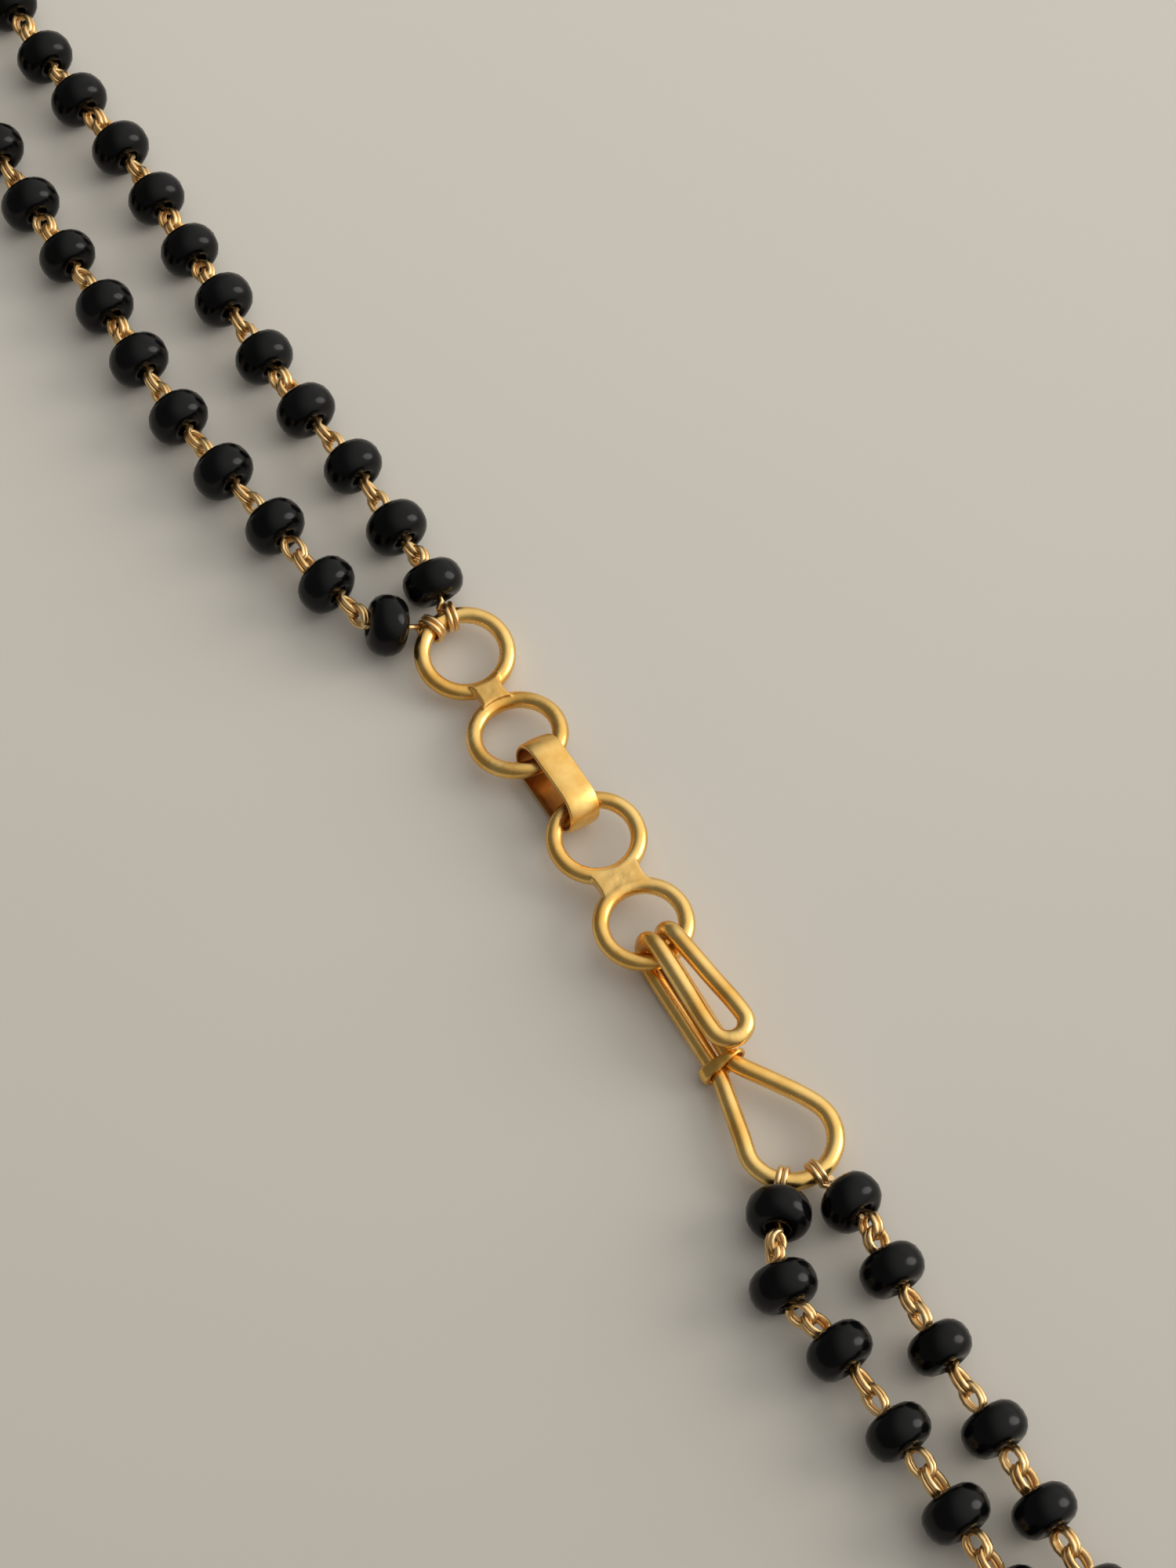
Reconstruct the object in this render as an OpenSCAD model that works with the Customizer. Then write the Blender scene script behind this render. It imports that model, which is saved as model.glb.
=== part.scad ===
/* [Beads] */
// Diameter of a black bead
bead_d = 3; // [2.7:0.05:3.1]
// Length of a bead along its hole
bead_length = 2; // [1.8:0.05:2.4]
// Diameter of the hole through a bead
bead_bore_d = 1; // [0.9:0.05:1.2]
// Depth of the dimple round each end of the hole
dimple_depth = 0.2; // [0.1:0.05:0.3]
// How far the dimple spreads outwards from the hole
dimple_spread = 0.3; // [0.2:0.05:0.4]

/* [Strands] */
// Distance from bead to bead where the strands just lie round the loop
bead_pitch = 3.9; // [3.6:0.05:4.3]
// Diameter of the linked wire that the beads sit on
strand_wire_d = 0.5; // [0.4:0.05:0.6]
// Distance across the loop, from the ring link's end to the outer strand opposite
loop_w = 88.5; // [80:0.5:110]
// Distance between the two strands on the side opposite the clasp
strand_spacing = 4; // [3.3:0.1:6]
// Straight run of the outer strand before it turns at the ring end
turn_run_top = 2.5; // [1:0.5:20]
// Straight run of the outer strand before it turns at the eye end
turn_run_foot = 2; // [1:0.5:20]

/* [End loops] */
// Diameter of the fine wire that is wound twice round the ring and the eye
loop_wire_d = 0.28; // [0.2:0.02:0.32]
// Gap between a wound loop and the wire that it goes round
loop_clearance = 0.07; // [0.06:0.01:0.12]
// Height of the wound loops above the surface that the necklace lies on
loop_lift = 0.22; // [0.1:0.02:0.5]

/* [Ring links] */
// Diameter of the wire of the four rings
ring_wire_d = 0.88; // [0.8:0.02:0.96]
// Outer diameter of the two rings next to the strands
upper_ring_d = 4.84; // [4.6:0.02:5.6]
// Distance between the centres of those two rings
upper_ring_pitch = 5.05; // [4.4:0.05:5.1]
// Width of the solder between them
upper_solder_w = 1.4; // [1:0.1:1.8]
// Outer diameter of the two rings next to the hook
lower_ring_d = 4.7; // [4.5:0.05:5.4]
// Distance between the centres of those two rings
lower_ring_pitch = 4.75; // [4.4:0.05:5]
// Width of the solder web between them
lower_solder_w = 2.2; // [1.4:0.1:2.6]
// Thickness of the solder in both links
solder_t = 0.66; // [0.4:0.02:0.7]
// Radius of the hollows at the two sides of the solder
solder_hollow_r = 0.5; // [0.3:0.05:0.8]
// Slope of the ring of the upper link that the strap holds, degrees
upper_slope = 9; // [4:0.5:10]
// Turn of the upper link in the plane of the loop, degrees
upper_turn = -1.5; // [-6:0.5:6]
// Turn of the lower link in the plane of the loop, degrees
lower_turn = -5; // [-8:1:6]

/* [Strap link] */
// Width of the flat band
strap_w = 1.55; // [1.2:0.05:1.8]
// Thickness of the flat band
strap_t = 0.2; // [0.18:0.02:0.4]
// Length of the opening inside the bent band
strap_opening = 4.3; // [3.9:0.05:5]
// Height of the opening inside the bent band
strap_inner_h = 1.95; // [1.8:0.05:2.3]
// Lean of the strap link to its outer side, degrees
strap_roll = 12; // [0:1:16]
// Sideways shift of the strap link on its rings
strap_shift = 0.08; // [0:0.02:0.2]
// Turn of the strap link in the plane of the loop, degrees
strap_turn = 1.5; // [-4:0.5:4]
// Turn of the line between the two rings that the strap holds, degrees
link_turn = 3.5; // [-4:0.5:4]
// Gap between the band and the rings that it holds
strap_clearance = 0.04; // [0.04:0.01:0.12]
// Height of the upper link's wire above the middle of the band
upper_rise = 0.1; // [0:0.05:0.25]
// Drop of the lower link's wire below the middle of the band
lower_drop = 0.1; // [0:0.05:0.25]

/* [Hook] */
// Diameter of the hook's wire
hook_wire_d = 0.82; // [0.7:0.02:0.9]
// Gap between the hook's two side by side wires at the bend
bend_gap = 0.16; // [0.06:0.02:0.2]
// Lean of the bend to its outer side, degrees
bend_lean = 11; // [0:1:14]
// Play of the ring's wire inside the hook's bend
hook_play = 0.15; // [0.12:0.01:0.3]
// Distance from the bend to the collar
hook_length = 5.5; // [5.45:0.05:8]
// Sideways shift of the bend on the ring
hook_shift = 0; // [0:0.05:0.2]
// Distance from the bend to the middle of the hook's round tip
tip_reach = 4.4; // [4:0.05:4.45]
// Sideways shift of the tip
tip_shift = 0.45; // [0:0.05:0.6]
// Distance between the two wires at the tip, centre to centre
tip_w = 1.6; // [1.4:0.05:2]
// Gap between the tip's wire and the collar below it
tip_lift = 0.1; // [0.1:0.05:0.6]
// Distance between the two sides of the eye, centre to centre
eye_w = 4.05; // [3.4:0.05:4.6]
// Distance from the collar to the middle of the eye
eye_reach = 4.35; // [4.2:0.05:5]
// Sideways shift of the eye from the collar
eye_shift = 0.6; // [0:0.05:0.9]

/* [Collar] */
// Length of the collar that binds the hook's legs
collar_length = 0.54; // [0.4:0.02:0.6]
// Wall of the collar
collar_t = 0.22; // [0.2:0.02:0.34]
// Gap between the collar and the legs
collar_clearance = 0.08; // [0.07:0.01:0.12]
// Sideways shift of the collar from the bend
collar_shift = 0.4; // [0:0.05:0.6]
// Gap between the two legs inside the collar
leg_gap = 0.06; // [0.04:0.02:0.12]
// Slope of the two legs inside the collar, one lies higher, degrees
leg_slope = 24; // [0:1:30]

/* [Hidden] */
$fn = 48;

// The outer strand is row 0 and the inner strand row 1 of each list below
outer = 0;
inner = 1;

// Bead by bead route of the strands next to the clasp: first both strands from the far point of
// the upper ring link, then both strands from the far point of the hook's eye
clasp_route = [
    [[[0.4, 1.75], [0.4, 5.2], [0.3, 9.2], [-0.1, 13.1], [-0.35, 16.8], [-0.45, 20.75],
      [-0.5, 24.2], [-0.45, 27.8], [-0.55, 31.45], [-0.95, 35.2], [-1.2, 38.5]],
     [[-2.55, 0.85], [-3.9, 4.2], [-4.45, 8.2], [-5.1, 12.1], [-5.5, 15.9], [-5.6, 19.8],
      [-5.6, 23.4], [-5.8, 27], [-5.95, 30.7]]],
    [[[0.55, -1.95], [0.4, -5.35], [0.25, -9.2], [0.25, -13.25], [0.1, -17.1]],
     [[-2.35, -0.8], [-3.9, -3.6], [-3.4, -7.15], [-3.2, -11.3], [-3.05, -15.35]]]
];
ring_end_route = clasp_route[0];
eye_end_route = clasp_route[1];
// Place of each wound loop round its ring or eye, and its turn, both from the clasp's line
ring_loop_angles = [[7, 6], [-23, -29]];
eye_loop_angles = [[5, 8], [-40, -40]];

// Beads at each end of a strand whose wire bends only outside them
bent_beads = 3;
// Room between a bead's end and the bend of its wire
bend_room = 0.1;
// Share of its wire's diameter by which the two turns of a wound loop press together
turn_press = 0.1;
// Flats of a bead's round side, from rim to rim
bead_steps = 16;
strand_sides = 8;
hook_sides = 12;
hook_steps = 3;

bead_z = bead_d / 2;
bead_round_r = bead_length / 2;
ring_wire_r = ring_wire_d / 2;
hook_wire_r = hook_wire_d / 2;
upper_r = upper_ring_d / 2 - ring_wire_r;
lower_r = lower_ring_d / 2 - ring_wire_r;
loop_wound_w = loop_wire_d * (2 - turn_press);
ring_loop_r = ring_wire_r + loop_clearance + loop_wire_d;
eye_loop_r = hook_wire_r + loop_clearance + loop_wire_d;

// Strap link: its middle is the middle of the clasp, and the rings lie against its ends
strap_h = strap_inner_h + 2 * strap_t;
strap_z = strap_h / 2 * cos(strap_roll) + strap_w / 2 * sin(strap_roll);
link_line = heading(link_turn);
// Distance from the strap's middle to a ring's wire, whose inner side clears the band's edges
function seat(r, side, rise) =
    let (bend_in = strap_inner_h / 2, room = bend_in - ring_wire_r - strap_clearance,
         aside = abs(strap_shift + side * sin(link_turn - strap_turn) * (strap_opening / 2 + r)),
         edge = strap_w / 2 + aside, height = rise + edge * sin(strap_roll))
    strap_opening / 2 - bend_in + sqrt(room * room - height * height) - fall_back(r - ring_wire_r, edge);

// Rings of each link: the near one at the strap, the joint, and the far one
upper_near = [0, 0, strap_z + upper_rise] - link_line * seat(upper_r, 1, upper_rise)
    - heading(link_turn, upper_slope) * upper_r;
upper_joint = upper_near - heading(upper_turn, upper_slope) * upper_ring_pitch / 2;
upper_far_slope = asin((upper_joint.z - ring_loop_r - loop_lift) / (upper_ring_pitch / 2 + upper_r));
upper_line = -heading(upper_turn, upper_far_slope);
upper_far = upper_joint + upper_line * upper_ring_pitch / 2;
ring_end = upper_far + upper_line * upper_r;

bend_r = ring_wire_r + hook_wire_r + hook_play;
bend_z = hook_wire_r + bend_r;
lower_near = [0, 0, strap_z - lower_drop] + link_line * (seat(lower_r, -1, lower_drop) + lower_r);
lower_joint = lower_near + heading(lower_turn) * lower_ring_pitch / 2;
lower_slope = asin((bend_z - lower_joint.z) / (lower_ring_pitch / 2 + lower_r));
lower_line = heading(lower_turn, lower_slope);
lower_far = lower_joint + lower_line * lower_ring_pitch / 2;

// Hook: the bend holds the lower link's last ring, and the eye ends it
bend_offset = (hook_wire_d + bend_gap) / 2;
bend_reach = lower_r - fall_back(lower_r, bend_offset + hook_shift);
bend = [lower_far.x + hook_shift, lower_far.y - bend_reach * cos(lower_slope), bend_z];
leg_offset = (hook_wire_d + leg_gap) / 2 * [cos(leg_slope), 0, sin(leg_slope)];
collar_z = collar_t + collar_clearance + hook_wire_r + leg_offset.z;
collar = [bend.x - collar_shift, bend.y - hook_length, collar_z];
eye_r = eye_w / 2;
eye = [collar.x + eye_shift, collar.y - eye_reach, 0];
eye_end = [eye.x, eye.y - eye_r, eye_loop_r + loop_lift];
tip_r = tip_w / 2;
tip = [bend.x + tip_shift, bend.y - tip_reach, 0];
tip_z = collar_z + leg_offset.z + collar_clearance + collar_t + hook_wire_d + tip_lift;

// Whole necklace: the far side, and the middle of the box that the frame stands on
far_x = [ring_end.x - loop_w, ring_end.x - loop_w + strand_spacing];
ring_end_stop = [for (s = [outer, inner]) beside(ring_end, end_of(ring_end_route[s]))];
eye_end_stop = [for (s = [outer, inner]) beside(eye_end, end_of(eye_end_route[s]))];
turn_top_y = ring_end_stop[outer].y + turn_run_top;
turn_foot_y = eye_end_stop[outer].y - turn_run_foot;
turn_top_r = [for (s = [outer, inner]) (ring_end_stop[s].x - far_x[s]) / 2];
turn_foot_r = [for (s = [outer, inner]) (eye_end_stop[s].x - far_x[s]) / 2];
right_x = max(eye.x + eye_r + hook_wire_r, ring_end.x + ring_end_route[outer][0].x + bead_d / 2);
middle = [(right_x + far_x[outer] - bead_d / 2) / 2,
          (turn_top_y + turn_top_r[outer] + turn_foot_y - turn_foot_r[outer]) / 2, 0];

// Direction away from the strands' ring end along the clasp, turned and raised by degrees
function heading(turn, rise = 0) = [sin(turn) * cos(rise), -cos(turn) * cos(rise), sin(rise)];
function unit(v) = v / norm(v);
// How far a circle falls back from its far point at a distance to the side
function fall_back(r, aside) = r - sqrt(r * r - aside * aside);
function end_of(list) = list[len(list) - 1];
function beside(at, shift) = [at.x + shift.x, at.y + shift.y, bead_z];
function mix(a, b, t) = a + (b - a) * t;

// Height of the eye's wire from the collar to the eye's end
function eye_height(y) = mix(collar_z, eye_end.z, (collar.y - y) / (collar.y - eye_end.y));

// Point at a distance along the plain way round from the listed beads to the listed beads
function way_length(s) =
    turn_top_y - ring_end_stop[s].y + PI * turn_top_r[s] + turn_top_y - turn_foot_y
    + PI * turn_foot_r[s] + eye_end_stop[s].y - turn_foot_y;
function way_point(s, d) =
    let (up = turn_top_y - ring_end_stop[s].y, top = up + PI * turn_top_r[s],
         down = top + turn_top_y - turn_foot_y, foot = down + PI * turn_foot_r[s])
    d < up ? [ring_end_stop[s].x, ring_end_stop[s].y + d]
    : d < top ? [far_x[s] + turn_top_r[s], turn_top_y] + circle_point(turn_top_r[s], d - up)
    : d < down ? [far_x[s], turn_top_y - (d - top)]
    : d < foot ? [far_x[s] + turn_foot_r[s], turn_foot_y] - circle_point(turn_foot_r[s], d - down)
    : [eye_end_stop[s].x, turn_foot_y + d - foot];
function circle_point(r, d) = r * [cos(d / r * 180 / PI), sin(d / r * 180 / PI)];

// Centres of a strand's beads, from the ring end to the eye end
function strand(s) =
    let (ring_side = ring_end_route[s], eye_side = eye_end_route[s],
         gaps = round(way_length(s) / bead_pitch))
    concat(
        [for (p = ring_side) beside(ring_end, p)],
        [for (i = [1:gaps - 1]) let (p = way_point(s, way_length(s) * i / gaps)) [p.x, p.y, bead_z]],
        [for (i = [len(eye_side) - 1:-1:0]) beside(eye_end, eye_side[i])]
    );
strands = [strand(outer), strand(inner)];

// Middle of each wound loop, on the wire that it goes round
function ring_loop(s) =
    let (a = ring_loop_angles[s][0] - upper_turn, tilt = upper_far_slope)
    upper_far + upper_r * [sin(a), cos(a) * cos(tilt), -cos(a) * sin(tilt)];
function eye_loop(s) =
    let (a = eye_loop_angles[s][0], y = eye.y - eye_r * cos(a))
    [eye.x + eye_r * sin(a), y, eye_height(y)];

// Way that the hole of bead i points
function bead_line(s, i) =
    let (b = strands[s])
    i == 0 ? unit(b[0] - ring_loop(s))
    : i == len(b) - 1 ? unit(eye_loop(s) - b[i])
    : unit(unit(b[i + 1] - b[i]) + unit(b[i] - b[i - 1]));

// Wire through beads first to last_bead: each stop is a point and the way the wire runs there
function bead_stops(s, i) =
    let (b = strands[s][i], line = bead_line(s, i), half = bead_length / 2 + bend_room,
         n = len(strands[s]))
    i == 0 ? [[ring_loop(s) + line * (ring_loop_r + loop_clearance), line], [b + line * half, line]]
    : i == n - 1 ? [[b - line * half, line], [eye_loop(s) - line * (eye_loop_r + loop_clearance), line]]
    : i < bent_beads || i > n - 1 - bent_beads ? [[b - line * half, line], [b + line * half, line]]
    : [[b, line]];
function wire_stops(s, first, last_bead) = [for (i = [first:last_bead]) each bead_stops(s, i)];
function middle_bead(s) = floor(len(strands[s]) / 2);

// Points of a tube's rings: each stop has a ring of corners square to the way it runs
function tube_points(stops, r, sides, reference) = [
    for (stop = stops) let (across = unit(cross(stop[1], reference)), up = cross(across, stop[1]))
        for (k = [0:sides - 1]) let (a = 360 * k / sides) stop[0] + r * (across * cos(a) + up * sin(a))
];
function tube_walls(rings, sides, closed) = [
    for (i = [0:rings - (closed ? 1 : 2)]) for (k = [0:sides - 1])
        let (a = i * sides + k, b = i * sides + (k + 1) % sides,
             c = (i + 1) % rings * sides + (k + 1) % sides, d = (i + 1) % rings * sides + k)
            each [[a, b, c], [a, c, d]]
];

module open_tube(stops, d, sides) {
    rings = len(stops);
    start_cap = [for (k = [sides - 1:-1:0]) k];
    end_cap = [for (k = [0:sides - 1]) (rings - 1) * sides + k];
    polyhedron(tube_points(stops, d / 2, sides, [0, 0, 1]),
               concat([start_cap], tube_walls(rings, sides, false), [end_cap]));
}

// Smooth closed curve through points, with stops between each two of them
function curve_line(points, i) =
    let (n = len(points)) unit(points[(i + 1) % n] - points[(i + n - 1) % n]);
function curve_point(points, i, t) =
    let (a = points[i], b = points[(i + 1) % len(points)], l = norm(b - a),
         m0 = curve_line(points, i) * l, m1 = curve_line(points, (i + 1) % len(points)) * l)
    (2 * t ^ 3 - 3 * t ^ 2 + 1) * a + (t ^ 3 - 2 * t ^ 2 + t) * m0
    + (3 * t ^ 2 - 2 * t ^ 3) * b + (t ^ 3 - t ^ 2) * m1;
function curve(points, steps) =
    [for (i = [0:len(points) - 1]) for (j = [0:steps - 1]) curve_point(points, i, j / steps)];

// The hook's wire: bend and tip, then down the other side to the collar and round the eye
function bend_side(x, angles) =
    [for (a = angles) bend + [x + bend_r * sin(a) * tan(bend_lean), bend_r * cos(a), bend_r * sin(a)]];
function eye_point(a) =
    let (y = eye.y + eye_r * sin(a)) [eye.x + eye_r * cos(a), y, eye_height(y)];
function hook_points() =
    let (left_rise = bend_side(-bend_offset, [-90:45:90]),
         right_fall = bend_side(bend_offset, [90:-45:-90]),
         round_tip = [for (a = [180:45:360]) [tip.x + tip_r * cos(a), tip.y + tip_r * sin(a), tip_z]],
         left = collar - leg_offset, right = collar + leg_offset, half = [0, collar_length / 2, 0],
         round_eye = [for (a = [35:-35:-210]) eye_point(a)])
    concat(
        left_rise, [mix(end_of(left_rise), round_tip[0], 0.5)],
        round_tip, [mix(end_of(round_tip), right_fall[0], 0.5)],
        right_fall, [mix(end_of(right_fall), right + half, 0.5)],
        [right + half, right - half, mix(right - half, round_eye[0], 0.4)],
        round_eye, [mix(end_of(round_eye), left - half, 0.5)],
        [left - half, left + half, mix(left + half, left_rise[0], 0.5)]
    );

module gold() { color([0.85, 0.62, 0.24]) children(); }
module black() { color([0.03, 0.03, 0.035]) children(); }
// The whole necklace is modelled from the middle of the clasp and moved to its own middle
module place() { translate(-middle) children(); }
// Turns the Z axis to a direction
module along(line) { rotate([0, acos(line.z), atan2(line.y, line.x)]) children(); }

module ring(r) { rotate_extrude() translate([r, 0]) circle(ring_wire_r); }

// Solder joins two rings up to their wires' middles, with a round hollow in each side
module solder(r, pitch, w) {
    translate([0, 0, -solder_t / 2]) linear_extrude(solder_t) difference() {
        square([w + solder_hollow_r, pitch], center = true);
        for (side = [-1, 1]) {
            translate([0, side * pitch / 2]) circle(r);
            translate([side * (w / 2 + solder_hollow_r), 0]) circle(solder_hollow_r);
        }
    }
}

module tilted(at, turn, slope) { translate(at) rotate([0, 0, turn]) rotate([-slope, 0, 0]) children(); }

module upper_ring_link() {
    gold() place() {
        tilted(upper_near, upper_turn, upper_slope) ring(upper_r);
        tilted(upper_far, upper_turn, upper_far_slope) ring(upper_r);
        tilted(upper_joint, upper_turn, (upper_slope + upper_far_slope) / 2)
            solder(upper_r, upper_ring_pitch, upper_solder_w);
    }
}

module lower_ring_link() {
    gold() place() {
        translate(lower_near) ring(lower_r);
        tilted(lower_far, lower_turn, lower_slope) ring(lower_r);
        tilted(lower_joint, lower_turn, lower_slope / 2)
            solder(lower_r, lower_ring_pitch, lower_solder_w);
    }
}

// A slot outline: two half circles joined by straight sides, along X
module slot_outline(length, height) {
    for (side = [-1, 1]) translate([side * (length - height) / 2, 0]) circle(height / 2);
    square([length - height, height], center = true);
}

module strap_link() {
    length = strap_opening + 2 * strap_t;
    gold() place() translate([strap_shift, 0, strap_z])
        rotate([0, 0, strap_turn]) rotate([0, strap_roll, 0]) rotate([90, 0, 90])
        translate([0, 0, -strap_w / 2]) linear_extrude(strap_w) difference() {
            slot_outline(length, strap_h);
            slot_outline(strap_opening, strap_inner_h);
        }
}

module hook() {
    points = curve(hook_points(), hook_steps);
    n = len(points);
    stops = [for (i = [0:n - 1]) [points[i], curve_line(points, i)]];
    gold() place() polyhedron(tube_points(stops, hook_wire_r, hook_sides, [1, 0, 1]),
                              tube_walls(n, hook_sides, true));
}

module hook_collar() {
    bore = hook_wire_d + 2 * collar_clearance;
    outside = bore + 2 * collar_t;
    reach = 2 * norm(leg_offset);
    gold() place() translate(collar) rotate([0, -leg_slope, 0]) rotate([90, 0, 0])
        translate([0, 0, -collar_length / 2]) linear_extrude(collar_length) difference() {
            slot_outline(outside + reach, outside);
            slot_outline(bore + reach, bore);
        }
}

// Two turns of fine wire side by side
module wound_loop(at, turn, wire_r) {
    loop_r = wire_r + loop_clearance + loop_wire_d / 2;
    apart = (loop_wound_w - loop_wire_d) / 2;
    translate(at) rotate([0, 0, -turn]) rotate([0, 90, 0]) rotate_extrude()
        for (side = [-1, 1]) translate([loop_r, side * apart]) circle(loop_wire_d / 2);
}

module ring_loop_of(s) { gold() place() wound_loop(ring_loop(s), ring_loop_angles[s][1], ring_wire_r); }
module eye_loop_of(s) { gold() place() wound_loop(eye_loop(s), -eye_loop_angles[s][1], hook_wire_r); }

// A bead is a round ring of glass with a drilled hole and a dimple at each end
module bead() {
    r = bead_bore_d / 2;
    round_x = bead_d / 2 - bead_round_r;
    rim_turn = acos((r + dimple_spread - round_x) / bead_round_r);
    side = [for (i = [0:bead_steps]) let (a = rim_turn * (1 - 2 * i / bead_steps))
        [round_x + bead_round_r * cos(a), bead_round_r * sin(a)]];
    hole = [for (end = [-1, 1]) [r, end * (bead_round_r - dimple_depth)]];
    rotate_extrude() polygon(concat(side, hole));
}

module beads_of(s) {
    black() place() for (i = [0:len(strands[s]) - 1])
        translate(strands[s][i]) along(bead_line(s, i)) bead();
}

// Each strand's wire is two nodes that meet in its middle bead
module upper_wire(s) { strand_wire(wire_stops(s, 0, middle_bead(s))); }
module lower_wire(s) { strand_wire(wire_stops(s, middle_bead(s), len(strands[s]) - 1)); }
module strand_wire(stops) { gold() place() open_tube(stops, strand_wire_d, strand_sides); }

upper_ring_link();
strap_link();
lower_ring_link();
hook();
hook_collar();
ring_loop_of(outer);  // outer_ring_loop
ring_loop_of(inner);  // inner_ring_loop
eye_loop_of(outer);  // outer_eye_loop
eye_loop_of(inner);  // inner_eye_loop
beads_of(outer);  // outer_beads
beads_of(inner);  // inner_beads
upper_wire(outer);  // outer_wire_upper
lower_wire(outer);  // outer_wire_lower
upper_wire(inner);  // inner_wire_upper
lower_wire(inner);  // inner_wire_lower
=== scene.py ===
import math
import random
import bmesh
import bpy
import numpy as np
from mathutils import Matrix, Vector, noise


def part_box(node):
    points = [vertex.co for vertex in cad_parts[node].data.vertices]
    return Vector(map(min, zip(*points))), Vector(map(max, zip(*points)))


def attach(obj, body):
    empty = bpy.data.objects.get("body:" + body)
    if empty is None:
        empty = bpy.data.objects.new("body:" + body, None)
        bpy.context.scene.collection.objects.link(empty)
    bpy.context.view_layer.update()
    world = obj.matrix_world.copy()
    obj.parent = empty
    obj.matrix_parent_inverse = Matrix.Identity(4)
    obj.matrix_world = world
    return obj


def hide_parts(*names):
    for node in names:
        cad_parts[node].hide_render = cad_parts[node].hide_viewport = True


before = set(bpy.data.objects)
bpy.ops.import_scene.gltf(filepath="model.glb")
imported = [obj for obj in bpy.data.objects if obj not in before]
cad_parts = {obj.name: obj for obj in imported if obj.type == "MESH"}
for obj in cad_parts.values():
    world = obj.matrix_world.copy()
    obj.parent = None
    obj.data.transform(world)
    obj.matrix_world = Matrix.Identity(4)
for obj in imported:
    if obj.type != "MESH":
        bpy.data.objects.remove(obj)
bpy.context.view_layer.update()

mm = 0.001  # pieces are built in millimetres and brought to metres when they are finished
scene = bpy.context.scene

claspShift = 0.08  # the strap link lies this far beside the clasp's middle line
mergeDistance = 1e-7  # in metres, for the loose triangles of a node


def boxMiddle(node):
    low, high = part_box(node)
    return (low + high) / 2 / mm


# The clasp's middle, on the surface: most places are measured from it
claspAt = boxMiddle("strap_link") - Vector((claspShift, 0, 0))
claspAt.z = 0


# Building helpers

def tilted(place, turn, slope):
    return (Matrix.Translation(claspAt + Vector(place))
            @ Matrix.Rotation(math.radians(turn), 4, "Z")
            @ Matrix.Rotation(math.radians(-slope), 4, "X"))


def meshFromRows(name, rows):
    # closed both ways: row after row of points round a section
    count, around = len(rows), len(rows[0])
    faces = []
    for i in range(count):
        for k in range(around):
            nextRow, nextPoint = (i + 1) % count, (k + 1) % around
            faces.append((i * around + k, i * around + nextPoint,
                          nextRow * around + nextPoint, nextRow * around + k))
    mesh = bpy.data.meshes.new(name)
    mesh.from_pydata([tuple(p) for row in rows for p in row], [], faces)
    return mesh


def facesOutwards(mesh):
    shape = bmesh.new()
    shape.from_mesh(mesh)
    bmesh.ops.recalc_face_normals(shape, faces=shape.faces)
    if shape.calc_volume(signed=True) < 0:
        bmesh.ops.reverse_faces(shape, faces=shape.faces)
    shape.to_mesh(mesh)
    shape.free()


def mergedNode(node):
    # a copy of a node's mesh, with its loose triangles joined
    shape = bmesh.new()
    shape.from_mesh(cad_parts[node].data)
    bmesh.ops.remove_doubles(shape, verts=shape.verts, dist=mergeDistance)
    return shape


def placeObject(name, mesh):
    piece = bpy.data.objects.new(name, mesh)
    scene.collection.objects.link(piece)
    return piece


def settle(piece):
    # the evaluated shape takes the place of the modifiers
    bpy.context.view_layer.update()
    graph = bpy.context.evaluated_depsgraph_get()
    mesh = bpy.data.meshes.new_from_object(piece.evaluated_get(graph))
    old = piece.data
    piece.modifiers.clear()
    piece.data = mesh
    bpy.data.meshes.remove(old)
    mesh.name = piece.name


def finishPiece(piece, slot, material, *nodes):
    piece.data.transform(Matrix.Scale(mm, 4))
    piece.data.materials.clear()
    piece.data.materials.append(material)
    piece.data.polygons.foreach_set("use_smooth", [True] * len(piece.data.polygons))
    piece.data.update()
    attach(piece, "root")
    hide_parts(*nodes)
    print(piece.name, "faces", len(piece.data.polygons))


# Node trees

def addNode(tree, kind, values=None, **choices):
    made = tree.nodes.new(kind)
    for key, value in choices.items():
        setattr(made, key, value)
    for key, value in (values or {}).items():
        made.inputs[key].default_value = value
    return made


def newTree(name, kind, inputs, outputs):
    # a node group with its named sockets, and the two nodes at its ends
    tree = bpy.data.node_groups.new(name, kind)
    for direction, sockets in (("INPUT", inputs), ("OUTPUT", outputs)):
        for socket, value in sockets.items():
            tree.interface.new_socket(name=socket, in_out=direction, socket_type="NodeSocket" + value)
    return tree, addNode(tree, "NodeGroupInput"), addNode(tree, "NodeGroupOutput")


# Geometry Nodes: a wire along a path, and beads on the points of a strand

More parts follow.
